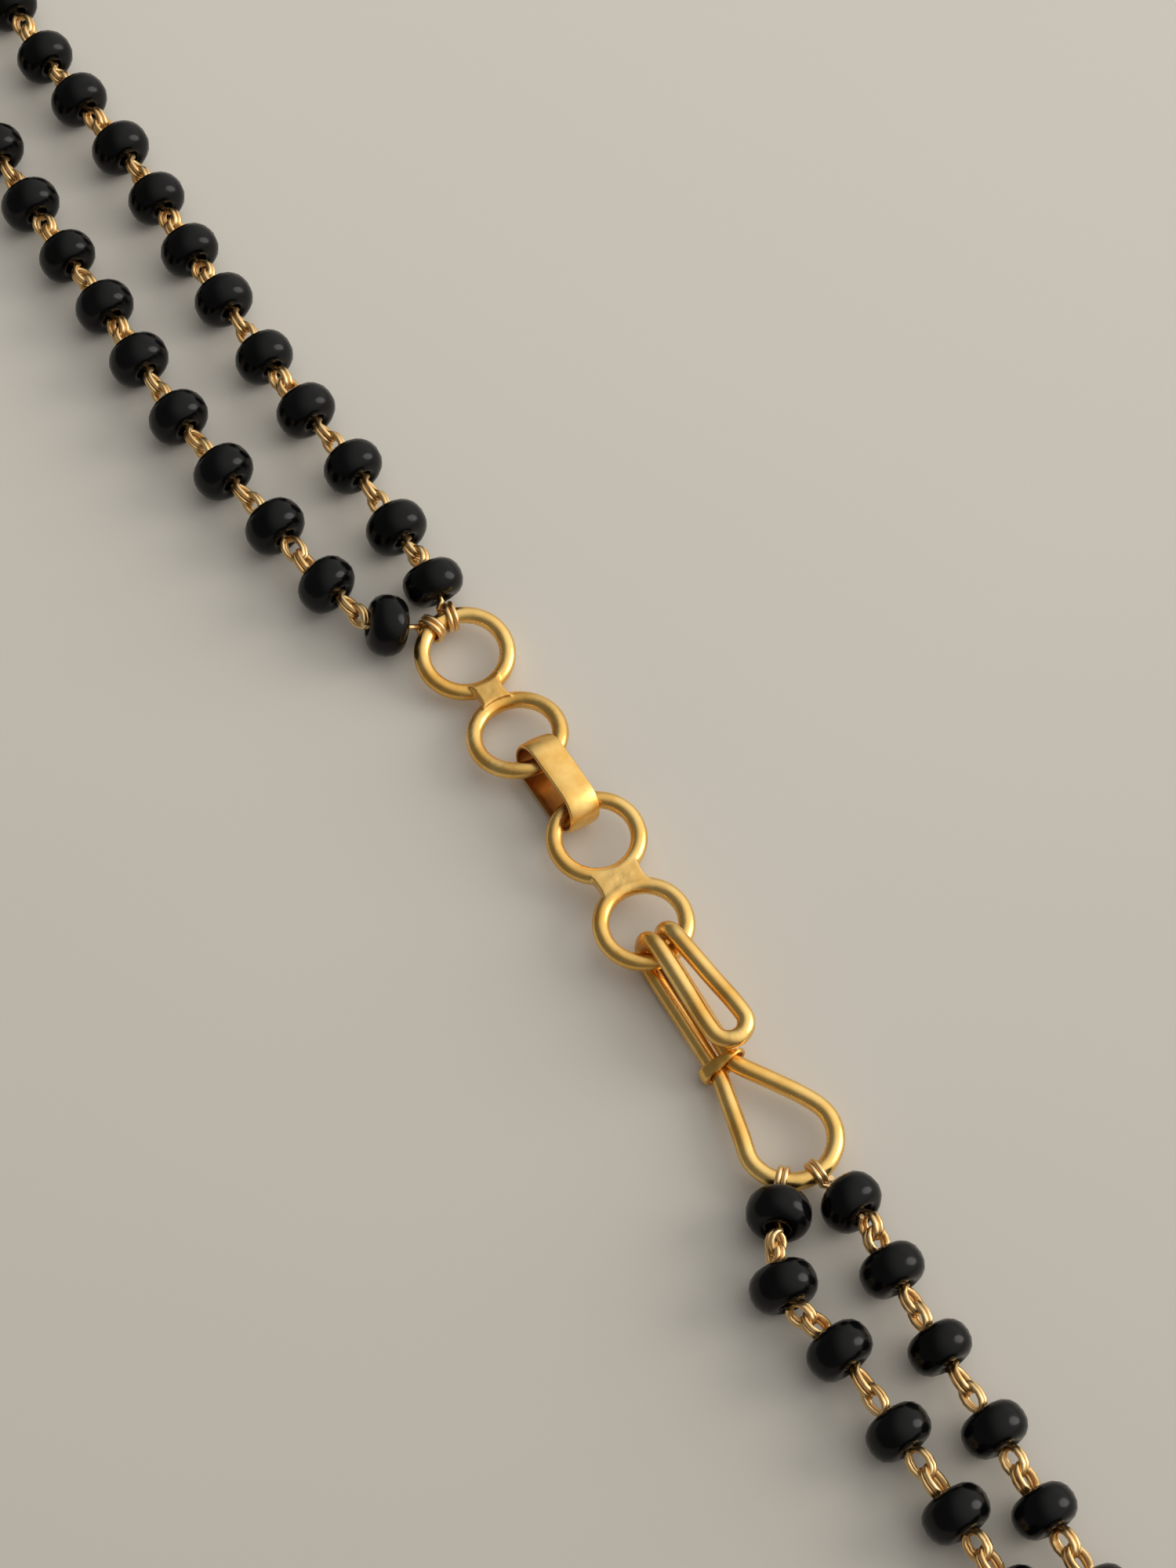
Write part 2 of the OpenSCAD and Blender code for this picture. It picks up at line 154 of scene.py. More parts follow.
def wireAlongPath():
    tree, given, made = newTree("wireAlongPath", "GeometryNodeTree", {
        "Path": "Geometry", "Wire Radius": "Float", "Sides": "Int", "Metal": "Material",
    }, {"Wire": "Geometry"})
    path = addNode(tree, "GeometryNodeMeshToCurve")
    section = addNode(tree, "GeometryNodeCurvePrimitiveCircle")
    sweep = addNode(tree, "GeometryNodeCurveToMesh", {"Fill Caps": True})
    smooth = addNode(tree, "GeometryNodeSetShadeSmooth")
    real = addNode(tree, "GeometryNodeRealizeInstances")
    finish = addNode(tree, "GeometryNodeSetMaterial")
    link = tree.links.new
    link(given.outputs["Path"], path.inputs["Mesh"])
    link(given.outputs["Sides"], section.inputs["Resolution"])
    link(given.outputs["Wire Radius"], section.inputs["Radius"])
    link(path.outputs["Curve"], sweep.inputs["Curve"])
    link(section.outputs["Curve"], sweep.inputs["Profile Curve"])
    link(sweep.outputs["Mesh"], smooth.inputs["Geometry"])
    link(smooth.outputs["Geometry"], real.inputs["Geometry"])
    link(real.outputs["Geometry"], finish.inputs["Geometry"])
    link(given.outputs["Metal"], finish.inputs["Material"])
    link(finish.outputs["Geometry"], made.inputs["Wire"])
    return tree


def beadsOnStrand():
    tree, given, made = newTree("beadsOnStrand", "GeometryNodeTree", {
        "Places": "Geometry", "Bead": "Object", "Smallest": "Float", "Unevenness": "Float",
        "Lump Size": "Float", "Seed": "Int", "Glass": "Material",
    }, {"Beads": "Geometry"})
    bead = addNode(tree, "GeometryNodeObjectInfo", transform_space="ORIGINAL")
    line = addNode(tree, "GeometryNodeInputNamedAttribute", {"Name": "holeLine"}, data_type="FLOAT_VECTOR")
    turn = addNode(tree, "FunctionNodeAlignRotationToVector", axis="Z")
    size = addNode(tree, "FunctionNodeRandomValue", data_type="FLOAT")
    onPoints = addNode(tree, "GeometryNodeInstanceOnPoints")
    points = addNode(tree, "GeometryNodeMeshToPoints")
    real = addNode(tree, "GeometryNodeRealizeInstances")
    lumps = addNode(tree, "ShaderNodeTexNoise", {"Detail": 2.0})
    invert = addNode(tree, "ShaderNodeMath", {0: 1.0}, operation="DIVIDE")
    centred = addNode(tree, "ShaderNodeMath", {1: 1.0}, operation="SUBTRACT")
    depth = addNode(tree, "ShaderNodeMath", operation="MULTIPLY")
    normal = addNode(tree, "GeometryNodeInputNormal")
    offset = addNode(tree, "ShaderNodeVectorMath", operation="SCALE")
    dent = addNode(tree, "GeometryNodeSetPosition")
    smooth = addNode(tree, "GeometryNodeSetShadeSmooth")
    finish = addNode(tree, "GeometryNodeSetMaterial")
    link = tree.links.new
    link(given.outputs["Places"], points.inputs["Mesh"])
    link(given.outputs["Bead"], bead.inputs["Object"])
    link(line.outputs["Attribute"], turn.inputs["Vector"])
    link(given.outputs["Smallest"], size.inputs["Min"])
    link(given.outputs["Seed"], size.inputs["Seed"])
    link(points.outputs["Points"], onPoints.inputs["Points"])
    link(bead.outputs["Geometry"], onPoints.inputs["Instance"])
    link(turn.outputs["Rotation"], onPoints.inputs["Rotation"])
    link(size.outputs["Value"], onPoints.inputs["Scale"])
    link(onPoints.outputs["Instances"], real.inputs["Geometry"])
    link(given.outputs["Lump Size"], invert.inputs[1])
    link(invert.outputs[0], lumps.inputs["Scale"])
    link(lumps.outputs["Fac"], centred.inputs[0])
    link(centred.outputs[0], depth.inputs[0])
    link(given.outputs["Unevenness"], depth.inputs[1])
    link(normal.outputs["Normal"], offset.inputs[0])
    link(depth.outputs[0], offset.inputs["Scale"])
    link(real.outputs["Geometry"], dent.inputs["Geometry"])
    link(offset.outputs[0], dent.inputs["Offset"])
    link(dent.outputs["Geometry"], smooth.inputs["Geometry"])
    link(smooth.outputs["Geometry"], finish.inputs["Geometry"])
    link(given.outputs["Glass"], finish.inputs["Material"])
    link(finish.outputs["Geometry"], made.inputs["Beads"])
    return tree


def runTree(piece, tree, values):
    change = piece.modifiers.new(tree.name, "NODES")
    change.node_group = tree
    for socket in tree.interface.items_tree:
        if socket.in_out == "INPUT" and socket.name in values:
            change[socket.identifier] = values[socket.name]
    settle(piece)


def pathObject(name, paths):
    # each path is a list of points, joined in a row
    points, edges = [], []
    for path in paths:
        first = len(points)
        points += [tuple(p) for p in path]
        edges += [(first + k, first + k + 1) for k in range(len(path) - 1)]
    mesh = bpy.data.meshes.new(name)
    mesh.from_pydata(points, edges, [])
    return placeObject(name, mesh)


# Finishes

handFinish = {
    "waves": {"Detail": 3.0, "Roughness": 0.55},
    "marks": {"Detail": 3.0, "Roughness": 0.6, "Distortion": 0.6},
    "patchRange": {"From Min": 0.38, "From Max": 0.66},
    "roughRange": {"From Min": 0.3, "From Max": 0.7},
    "markHeight": 0.012,
}


def handWork():
    # uneven hand finish: slow waves, patches where they rise, and fine marks
    group, given, made = newTree("handWork", "ShaderNodeTree", {
        "Wave Scale": "Float", "Mark Scale": "Float", "Smoothest": "Float", "Dullest": "Float",
    }, {"Patches": "Float", "Roughness": "Float", "Height": "Float"})
    place = addNode(group, "ShaderNodeTexCoord")
    waves = addNode(group, "ShaderNodeTexNoise", handFinish["waves"])
    marks = addNode(group, "ShaderNodeTexNoise", handFinish["marks"])
    patches = addNode(group, "ShaderNodeMapRange", handFinish["patchRange"])
    rough = addNode(group, "ShaderNodeMapRange", handFinish["roughRange"])
    fine = addNode(group, "ShaderNodeMath", {1: handFinish["markHeight"]}, operation="MULTIPLY")
    height = addNode(group, "ShaderNodeMath", operation="ADD")
    link = group.links.new
    for texture, scale in ((waves, "Wave Scale"), (marks, "Mark Scale")):
        link(place.outputs["Object"], texture.inputs["Vector"])
        link(given.outputs[scale], texture.inputs["Scale"])
    link(waves.outputs["Fac"], patches.inputs["Value"])
    link(marks.outputs["Fac"], rough.inputs["Value"])
    link(given.outputs["Smoothest"], rough.inputs["To Min"])
    link(given.outputs["Dullest"], rough.inputs["To Max"])
    link(marks.outputs["Fac"], fine.inputs[0])
    link(waves.outputs["Fac"], height.inputs[0])
    link(fine.outputs[0], height.inputs[1])
    link(patches.outputs[0], made.inputs["Patches"])
    link(rough.outputs[0], made.inputs["Roughness"])
    link(height.outputs[0], made.inputs["Height"])
    return group


def newMaterial(name):
    material = bpy.data.materials.new(name)
    material.use_nodes = True
    return material, material.node_tree, material.node_tree.nodes["Principled BSDF"]


def workedSurface(tree, shader, look):
    # a colour with patches of another, an uneven gloss and a low relief
    work = addNode(tree, "ShaderNodeGroup", {
        "Wave Scale": look["waveScale"], "Mark Scale": look["markScale"],
        "Smoothest": look["smoothest"], "Dullest": look["dullest"],
    }, node_tree=handWorkGroup)
    tint = addNode(tree, "ShaderNodeMix", {"A": look["color"], "B": look["patchColor"]}, data_type="RGBA")
    bump = addNode(tree, "ShaderNodeBump", {"Strength": look["bump"], "Distance": look["bumpDepth"] * mm})
    tree.links.new(work.outputs["Patches"], tint.inputs["Factor"])
    tree.links.new(work.outputs["Height"], bump.inputs["Height"])
    tree.links.new(bump.outputs["Normal"], shader.inputs["Normal"])
    return work, tint, bump


def colorWhere(tree, where, under, share, color):
    # another colour over the one under it, where an attribute of the piece says
    amount = addNode(tree, "ShaderNodeMath", {1: share}, operation="MULTIPLY")
    mixed = addNode(tree, "ShaderNodeMix", {"B": color}, data_type="RGBA")
    tree.links.new(where.outputs["Fac"], amount.inputs[0])
    tree.links.new(amount.outputs[0], mixed.inputs["Factor"])
    tree.links.new(under.outputs["Result"], mixed.inputs["A"])
    return mixed


def goldMaterial(name, look):
    material, tree, shader = newMaterial(name)
    shader.inputs["Metallic"].default_value = 1.0
    work, color, bump = workedSurface(tree, shader, look)
    roughness = work.outputs["Roughness"]
    link = tree.links.new
    if "innerShadeShare" in look:
        # painted shade: the inner face of a bent band is coloured darker, in place of the shade the band
        # casts on itself
        where = addNode(tree, "ShaderNodeAttribute", attribute_name="inside")
        color = colorWhere(tree, where, color, look["innerShadeShare"], look["innerShadeColor"])
    if "solderShare" in look:
        # solder is grainy and duller
        where = addNode(tree, "ShaderNodeAttribute", attribute_name="solder")
        color = colorWhere(tree, where, color, look["solderShare"], look["solderColor"])
        place = addNode(tree, "ShaderNodeTexCoord")
        grain = addNode(tree, "ShaderNodeTexNoise", look["grain"])
        dull = addNode(tree, "ShaderNodeMix", {"B": look["solderRoughness"]}, data_type="FLOAT")
        grainHeight = addNode(tree, "ShaderNodeMath", operation="MULTIPLY")
        total = addNode(tree, "ShaderNodeMath", operation="ADD")
        link(place.outputs["Object"], grain.inputs["Vector"])
        link(where.outputs["Fac"], dull.inputs["Factor"])
        link(roughness, dull.inputs["A"])
        link(grain.outputs["Fac"], grainHeight.inputs[0])
        link(where.outputs["Fac"], grainHeight.inputs[1])
        link(work.outputs["Height"], total.inputs[0])
        link(grainHeight.outputs[0], total.inputs[1])
        link(total.outputs[0], bump.inputs["Height"])
        roughness = dull.outputs["Result"]
    link(color.outputs["Result"], shader.inputs["Base Color"])
    link(roughness, shader.inputs["Roughness"])
    return material


def beadMaterial(look):
    material, tree, shader = newMaterial("blackGlass")
    shader.inputs["IOR"].default_value = look["ior"]
    shader.inputs["Specular IOR Level"].default_value = look["shine"]
    work, color = workedSurface(tree, shader, look)[:2]
    tree.links.new(color.outputs["Result"], shader.inputs["Base Color"])
    tree.links.new(work.outputs["Roughness"], shader.inputs["Roughness"])
    return material


handWorkGroup = handWork()
goldBright = (0.98, 0.66, 0.23, 1)
goldDeep = (0.84, 0.46, 0.1, 1)
ringGold = goldMaterial("ringGold", {
    "color": goldBright, "patchColor": goldDeep, "waveScale": 420, "markScale": 2600,
    "smoothest": 0.21, "dullest": 0.34, "bump": 0.35, "bumpDepth": 0.09,
    "solderColor": (0.97, 0.65, 0.24, 1), "solderShare": 0.5, "solderRoughness": 0.4,
    "grain": {"Scale": 2200, "Detail": 3.0},
})
hookGold = goldMaterial("hookGold", {
    "color": goldBright, "patchColor": goldDeep, "waveScale": 380, "markScale": 3000,
    "smoothest": 0.21, "dullest": 0.33, "bump": 0.3, "bumpDepth": 0.06,
    # the collar's inner face gets painted shade
    "innerShadeShare": 0.5, "innerShadeColor": (0.45, 0.2, 0.04, 1),
})
strapGold = goldMaterial("strapGold", {
    "color": goldBright, "patchColor": goldDeep, "waveScale": 700, "markScale": 4200,
    "smoothest": 0.26, "dullest": 0.42, "bump": 0.3, "bumpDepth": 0.04,
    # the strap's inner face gets painted shade, a near-black brown
    "innerShadeShare": 0.95, "innerShadeColor": (0.24, 0.085, 0.015, 1),
})
wireGold = goldMaterial("wireGold", {
    "color": (0.96, 0.69, 0.34, 1), "patchColor": (0.86, 0.53, 0.21, 1),
    "waveScale": 900, "markScale": 6000, "smoothest": 0.28, "dullest": 0.42, "bump": 0.2, "bumpDepth": 0.02,
})
blackGlass = beadMaterial({
    "color": (0.0015, 0.0015, 0.0015, 1), "patchColor": (0.004, 0.004, 0.0045, 1),
    "waveScale": 500, "markScale": 3500, "smoothest": 0.13, "dullest": 0.23, "bump": 0.2,
    "bumpDepth": 0.03, "ior": 1.5, "shine": 0.18,
})
print("materials ready")


# Ring links: two round wire rings each, with a pad of solder between them
# near and far give a ring's place from the clasp's middle, its turn and its slope
ringLinks = {
    "upperRingLink": {
        "node": "upper_ring_link", "ring": 1.98, "solderWidth": 1.5,
        "near": ((-0.192, 3.144, 1.101), -1.5, 9.0), "far": ((-0.061, 8.156, 0.876), -1.5, -3.87),
    },
    "lowerRingLink": {
        "node": "lower_ring_link", "ring": 1.91, "solderWidth": 2.4,
        "near": ((0.198, -3.23, 1.21), 0.0, 0.0), "far": ((-0.216, -7.959, 1.321), -5.0, 2.67),
    },
}
ringBuild = {
    "wire": 0.79, "around": 96, "section": 28, "solderThickness": 0.66, "hollow": 0.14, "padSteps": 12,
    "voxel": 0.045, "smoothFactor": 0.5, "smoothing": 12, "grainDepth": 0.035, "grainSize": 0.55,
    "maskAlong": 0.85, "maskAside": 0.62, "maskEdge": 1.6,  # how far the solder reaches, and fades
}


def ringMesh(ring, place, turn, slope):
    matrix = tilted(place, turn, slope)
    half = ringBuild["wire"] / 2
    rows = []
    for i in range(ringBuild["around"]):
        a = 2 * math.pi * i / ringBuild["around"]
        row = []
        for k in range(ringBuild["section"]):
            b = 2 * math.pi * k / ringBuild["section"]
            out = ring + half * math.cos(b)
            row.append(matrix @ Vector((out * math.cos(a), out * math.sin(a), half * math.sin(b))))
        rows.append(row)
    mesh = meshFromRows("ring", rows)
    facesOutwards(mesh)
    return mesh


def solderPad(ring, width, near, far):
    # fills the space between the two rings' middle lines, and is hollow at its sides
    pitch = (Vector(far[0]) - Vector(near[0])).length
    joint = (Vector(far[0]) + Vector(near[0])) / 2
    matrix = tilted(joint, (near[1] + far[1]) / 2, (near[2] + far[2]) / 2)
    steps, hollow, half = ringBuild["padSteps"], ringBuild["hollow"], ringBuild["solderThickness"] / 2
    outline = []
    for side in (1, -1):
        for k in range(steps + 1):
            x = side * width / 2 * (1 - 2 * k / steps)
            outline.append((x, side * (pitch / 2 - math.sqrt(ring ** 2 - x ** 2))))
        corner = abs(outline[-1][1])
        for k in range(1, steps):
            t = 1 - 2 * k / steps
            outline.append((-side * (width / 2 - hollow * (1 - t * t)), side * corner * t))
    mesh = bpy.data.meshes.new("solder")
    count = len(outline)
    points = [matrix @ Vector((x, y, z)) for z in (-half, half) for x, y in outline]
    faces = [tuple(range(count))[::-1], tuple(range(count, 2 * count))]
    faces += [(k, (k + 1) % count, count + (k + 1) % count, count + k) for k in range(count)]
    mesh.from_pydata([tuple(p) for p in points], [], faces)
    facesOutwards(mesh)
    return mesh


def grainSolder(mesh, link):
    # marks the solder for its material, and makes its surface uneven
    near, far = (claspAt + Vector(link[end][0]) for end in ("near", "far"))
    joint = (near + far) / 2
    across = (far - near).normalized()
    mask = mesh.attributes.new("solder", "FLOAT", "POINT")
    normals = [v.normal.copy() for v in mesh.vertices]
    for v in mesh.vertices:
        away = v.co - joint
        along = abs(away.dot(across)) / ringBuild["maskAlong"]
        aside = (away - across * away.dot(across)).length / (link["solderWidth"] * ringBuild["maskAside"])
        amount = max(0.0, min(1.0, ringBuild["maskEdge"] * (1 - math.hypot(along, aside))))
        mask.data[v.index].value = amount
        grains = noise.noise(v.co / ringBuild["grainSize"])
        v.co += normals[v.index] * grains * amount * ringBuild["grainDepth"]


def makeRingLink(name, link):
    near, far, ring = link["near"], link["far"], link["ring"]
    meshes = (ringMesh(ring, *near), ringMesh(ring, *far), solderPad(ring, link["solderWidth"], near, far))
    shape = bmesh.new()
    for mesh in meshes:
        shape.from_mesh(mesh)
        bpy.data.meshes.remove(mesh)
    mesh = bpy.data.meshes.new(name)
    shape.to_mesh(mesh)
    shape.free()
    piece = placeObject(name, mesh)
    remesh = piece.modifiers.new("melt", "REMESH")
    remesh.mode = "VOXEL"
    remesh.voxel_size = ringBuild["voxel"]
    smooth = piece.modifiers.new("smooth", "SMOOTH")
    smooth.factor = ringBuild["smoothFactor"]
    smooth.iterations = ringBuild["smoothing"]
    settle(piece)
    grainSolder(piece.data, link)
    finishPiece(piece, "gold", ringGold, link["node"])


for name, link in ringLinks.items():
    makeRingLink(name, link)
print("ring links ready")


# Strap link and collar: a flat band bent into a slot shape

def slotOutline(length, height, band):
    # middle line of the band in its own plane, with the way out at each point
    radius, straight = height / 2, length - height
    bendSteps, sideSteps = band["bendSteps"], band["sideSteps"]
    line = []
    for side in (1, -1):
        for k in range(bendSteps + 1):
            a = math.radians(-90 + 180 * k / bendSteps)
            out = Vector((math.cos(a) * side, math.sin(a) * side))
            line.append((Vector((side * straight / 2, 0)) + out * radius, out))
        for k in range(1, sideSteps):
            t = k / sideSteps
            out = Vector((0, side))
            line.append((Vector((side * straight * (0.5 - t), side * radius)), out))
    return line


def bandSection(band, corner=4, across=6):
    # points round the band's section: (along its width, out of its thickness)
    width, thickness, edgeRound = band["width"], band["thickness"], band["edgeRound"]
    points = []
    for sx, sy, start in ((1, 1, 0), (-1, 1, 90), (-1, -1, 180), (1, -1, 270)):
        for k in range(corner + 1):
            a = math.radians(start + 90 * k / corner)
            u = sx * (width / 2 - edgeRound) + edgeRound * math.cos(a)
            v = sy * (thickness / 2 - edgeRound) + edgeRound * math.sin(a)
            points.append((u, v))
        if start in (0, 180):  # long sides are divided, so that they can be crowned
            for k in range(1, across):
                u = sx * (width / 2 - edgeRound) * (1 - 2 * k / across)
                points.append((u, sy * thickness / 2))
    flat = width / 2
    return [(u, v + (band["crown"] * (1 - (u / flat) ** 2) if v > 0 else 0)) for u, v in points]


def makeBand(name, node, material, band, matrix, length, height, wall=None):
    section = bandSection(band)
    rows, inside = [], []
    for middle, out in slotOutline(length, height, band):
        row = []
        for u, v in section:
            swell = wall(middle) if wall else 1
            p = middle + out * v * (swell if v > 0 else 1)
            row.append(matrix @ Vector((u * swell, p.x, p.y)))
            inside.append(1.0 if v < 0 else 0.0)
        rows.append(row)
    mesh = meshFromRows(name, rows)
    # the inner face is marked, so that the material can paint shade on it
    mesh.attributes.new("inside", "FLOAT", "POINT").data.foreach_set("value", inside)
    facesOutwards(mesh)
    finishPiece(placeObject(name, mesh), "gold", material, node)


strapLink = {
    "width": 1.55, "thickness": 0.2, "opening": 4.3, "innerHeight": 1.95,
    "roll": 12, "turn": 1.5, "edgeRound": 0.07, "crown": 0.07,
    "bendSteps": 20, "sideSteps": 8,
}
strapMatrix = (Matrix.Translation(boxMiddle("strap_link"))
               @ Matrix.Rotation(math.radians(strapLink["turn"]), 4, "Z")
               @ Matrix.Rotation(math.radians(strapLink["roll"]), 4, "Y"))
makeBand("strapLink", "strap_link", strapGold, strapLink, strapMatrix,
         strapLink["opening"] + strapLink["thickness"], strapLink["innerHeight"] + strapLink["thickness"])

collar = {
    "width": 0.54, "thickness": 0.22, "bore": 0.98, "reach": 0.88, "slope": 24,
    "edgeRound": 0.1, "crown": 0.03, "bendSteps": 16, "sideSteps": 5,
    "ball": 0.25, "thin": 0.6, "dents": 0.05, "dentPace": 9,
}


def collarWall(middle):
    # fuller on one side and thinner on the other, with slow dents
    return (1 + collar["ball"] * max(0, middle.x) ** 2 - collar["thin"] * max(0, -middle.x)
            + collar["dents"] * math.sin(collar["dentPace"] * middle.x))


collarMatrix = (Matrix.Translation(boxMiddle("hook_collar"))
                @ Matrix.Rotation(math.radians(-collar["slope"]), 4, "Y")
                @ Matrix.Rotation(math.radians(90), 4, "Z"))
makeBand("hookCollar", "hook_collar", hookGold, collar, collarMatrix,
         collar["bore"] + collar["thickness"] + collar["reach"], collar["bore"] + collar["thickness"],
         collarWall)
print("strap link and collar ready")


# Hook: its round wire, taken from the model and made smooth
hookBuild = {"inflate": 0.016, "levels": 2}


def makeHook():
    shape = mergedNode("hook")
    bmesh.ops.scale(shape, verts=shape.verts, vec=(1 / mm, 1 / mm, 1 / mm))
    # the diagonal of each four-sided patch is the longest edge of both its triangles
    longest = {}
    for face in shape.faces:
        longest[face] = max(face.edges, key=lambda e: e.calc_length())
    diagonals = [e for e in shape.edges
                 if len(e.link_faces) == 2 and all(longest[f] is e for f in e.link_faces)]
    bmesh.ops.dissolve_edges(shape, edges=diagonals, use_verts=False)
    print("hook patches", len(shape.faces), "sides", sorted({len(f.verts) for f in shape.faces}))
    mesh = bpy.data.meshes.new("hook")
    shape.to_mesh(mesh)
    shape.free()
    piece = placeObject("hookWire", mesh)
    rounding = piece.modifiers.new("round", "SUBSURF")
    rounding.levels = rounding.render_levels = hookBuild["levels"]
    settle(piece)
    normals = [v.normal.copy() for v in piece.data.vertices]
    for v in piece.data.vertices:
        v.co += normals[v.index] * hookBuild["inflate"]
    finishPiece(piece, "gold", hookGold, "hook")


makeHook()
print("hook ready")


# Strands: the beads stay where the model has them, and linked wires join them
# ringLoopLine and eyeLoopLine turn the line round which an end loop is wound, in degrees
strands = {
    "outer": {
        "beads": "outer_beads", "wires": ("outer_wire_upper", "outer_wire_lower"), "seed": 5,
        "ringLoop": "outer_ring_loop", "ringLoopLine": -6,
        "eyeLoop": "outer_eye_loop", "eyeLoopLine": 8,
    },
    "inner": {
        "beads": "inner_beads", "wires": ("inner_wire_upper", "inner_wire_lower"), "seed": 11,
        "ringLoop": "inner_ring_loop", "ringLoopLine": 29,
        "eyeLoop": "inner_eye_loop", "eyeLoopLine": -40,
    },
}
beadShape = {
    "across": 3.04, "length": 1.98, "bore": 0.86, "squareness": 0.88, "sides": 20, "outerSteps": 8,
    "dimpleDepth": 0.14, "dimpleSpread": 0.26, "dimpleLip": (0.1, 0.03), "holeEdge": (0.03, 0.1),
    "smallest": 0.94, "unevenness": 0.055, "lumpSize": 1.3,
}
links = {
    "wire": 0.27, "loopWidth": 0.82, "shortestLoop": 0.5, "dip": 0.2, "slack": 1.6, "turns": 2,
    "steps": 12, "sides": 6, "lean": 45, "leanSpread": 16, "turnedShare": 0.5,
    "insideReach": 0.5, "bareReach": 0.6,  # along the hole, as shares of half a bead
}
endLoops = {
    "wire": 0.27, "ringRadius": 0.6, "eyeRadius": 0.56, "inside": 0.3,
    "turns": 2, "steps": 16, "sides": 8,
}


def looseGroups(shape):
    # the vertices of each loose solid
    left = set(shape.verts)
    groups = []
    while left:
        seed = left.pop()
        group, edge = [seed], [seed]
        while edge:
            here = edge.pop()
            for e in here.link_edges:
                other = e.other_vert(here)
                if other in left:
                    left.remove(other)
                    group.append(other)
                    edge.append(other)
        groups.append(group)
    return groups


def centreAndLine(faces):
    # the middle of a bead's volume, and the line of its hole, along which it is shortest
    corners = np.array([[v.co for v in f.verts] for f in faces]) / mm
    volumes = np.einsum("ij,ij->i", corners[:, 0], np.cross(corners[:, 1], corners[:, 2]))
    centre = (volumes[:, None] * corners.sum(1) / 4).sum(0) / volumes.sum()
    sides = corners[:, 1:] - corners[:, :1]
    areas = np.linalg.norm(np.cross(sides[:, 0], sides[:, 1]), axis=1)
    away = corners.mean(1) - centre
    spread = (areas[:, None, None] * away[:, :, None] * away[:, None, :]).sum(0)
    return Vector(centre), Vector(np.linalg.eigh(spread)[1][:, 0])


def beadPlaces(node, start):
    # centre and hole line of each bead, in the order in which the strand takes them
    shape = mergedNode(node)
    places = [centreAndLine({f for v in group for f in v.link_faces}) for group in looseGroups(shape)]
    shape.free()
    ordered, at = [], start
    while places:
        nearest = min(places, key=lambda p: (p[0] - at).length)
        places.remove(nearest)
        ordered.append(nearest)
        at = nearest[0]
    # every hole line points the way the strand runs
    result = []
    for i, (centre, line) in enumerate(ordered):
        before = ordered[max(i - 1, 0)][0]
        after = ordered[min(i + 1, len(ordered) - 1)][0]
        result.append((centre, line if line.dot(after - before) > 0 else -line))
    return result


def beadTemplate():
    # a drilled glass bead, a little fuller than round, with a dimple at each end of its hole
    b = beadShape
    tube = b["length"] / 2
    middle = b["across"] / 2 - tube
    bore = b["bore"] / 2
    rim = bore + b["dimpleSpread"]
    top = math.acos(max(-1, min(1, (rim - middle) / tube)))
    profile = []
    for k in range(b["outerSteps"] + 1):
        a = top * (1 - 2 * k / b["outerSteps"])
        full = [math.copysign(abs(v) ** b["squareness"], v) for v in (math.cos(a), math.sin(a))]
        profile.append((middle + tube * full[0], tube * full[1]))
    rimX, rimZ = profile[0]
    floorZ = tube - b["dimpleDepth"]
    (lipX, lipZ), (edgeX, edgeZ) = b["dimpleLip"], b["holeEdge"]
    dimple = [(rimX - lipX, rimZ - lipZ), (bore + edgeX, floorZ), (bore, floorZ - edgeZ)]
    profile += [(x, -z) for x, z in dimple] + dimple[::-1]
    rows = []
    for i in range(b["sides"]):
        a = 2 * math.pi * i / b["sides"]
        rows.append([Vector((r * math.cos(a), r * math.sin(a), z)) for r, z in profile])
    mesh = meshFromRows("beadTemplate", rows)
    facesOutwards(mesh)
    return placeObject("beadTemplate", mesh)


def makeBeads(name, strand, places, template):
    mesh = bpy.data.meshes.new(name)
    centres, lines = zip(*places)
    mesh.from_pydata([tuple(centre) for centre in centres], [], [])
    holeLines = mesh.attributes.new("holeLine", "FLOAT_VECTOR", "POINT")
    for i, line in enumerate(lines):
        holeLines.data[i].vector = line
    piece = placeObject(name, mesh)
    runTree(piece, beadTree, {
        "Bead": template, "Smallest": beadShape["smallest"], "Unevenness": beadShape["unevenness"],
        "Lump Size": beadShape["lumpSize"], "Seed": strand["seed"], "Glass": blackGlass,
    })
    finishPiece(piece, "black_bead", blackGlass, strand["beads"])


def coil(centre, outward, normal, length, width, turns, steps, wire):
    # starts on the side nearest the bead, and each turn lies beside the one before
    side = normal.cross(outward)
    points = []
    for k in range(round(turns * steps) + 1):
        a = 2 * math.pi * k / steps
        shift = (k / steps - turns / 2) * wire
        flat = centre - outward * length * math.cos(a) + side * width * math.sin(a)
        points.append(flat + normal * shift)
    return points


def leaning(line, degrees):
    # a direction square to the line, at an angle about it
    flat = line.cross(Vector((0, 0, 1))).normalized()
    return Matrix.Rotation(math.radians(degrees), 3, line) @ flat


def makeWires(name, paths, size, *nodes):
    piece = pathObject(name, paths)
    runTree(piece, wireTree, {"Wire Radius": size["wire"] / 2, "Sides": size["sides"], "Metal": wireGold})
    facesOutwards(piece.data)
    finishPiece(piece, "gold_wire", wireGold, *nodes)


